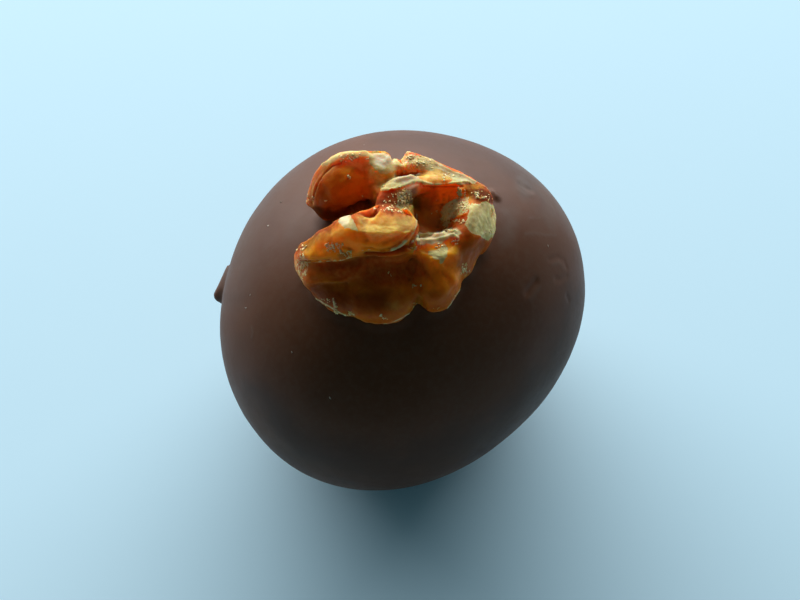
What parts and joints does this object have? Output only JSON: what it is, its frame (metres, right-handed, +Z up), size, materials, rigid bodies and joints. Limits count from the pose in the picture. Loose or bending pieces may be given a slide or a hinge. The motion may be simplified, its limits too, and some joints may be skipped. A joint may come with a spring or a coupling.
{
  "type": "chocolate candy",
  "caption": "Round hand-dipped chocolate candy with a flat foot, a small drawn tail at its side and a piece of walnut kernel on its top.",
  "frame": {"origin": "middle of the flat foot of the chocolate ball, on the floor it rests on", "axes": "+Z up, +X to the right and +Y to the back, as the picture shows the candy; the drawn tail is on the -X side"},
  "size_m": [0.0414, 0.0401, 0.043],
  "materials": {
    "chocolate": "satin dark chocolate with a soft grey sheen",
    "walnut": "glossy amber kernel skin with cream torn patches"
  },
  "bodies": {
    "root": {"chocolate_body": "chocolate", "walnut_kernel": "walnut"}
  },
  "joints": []
}
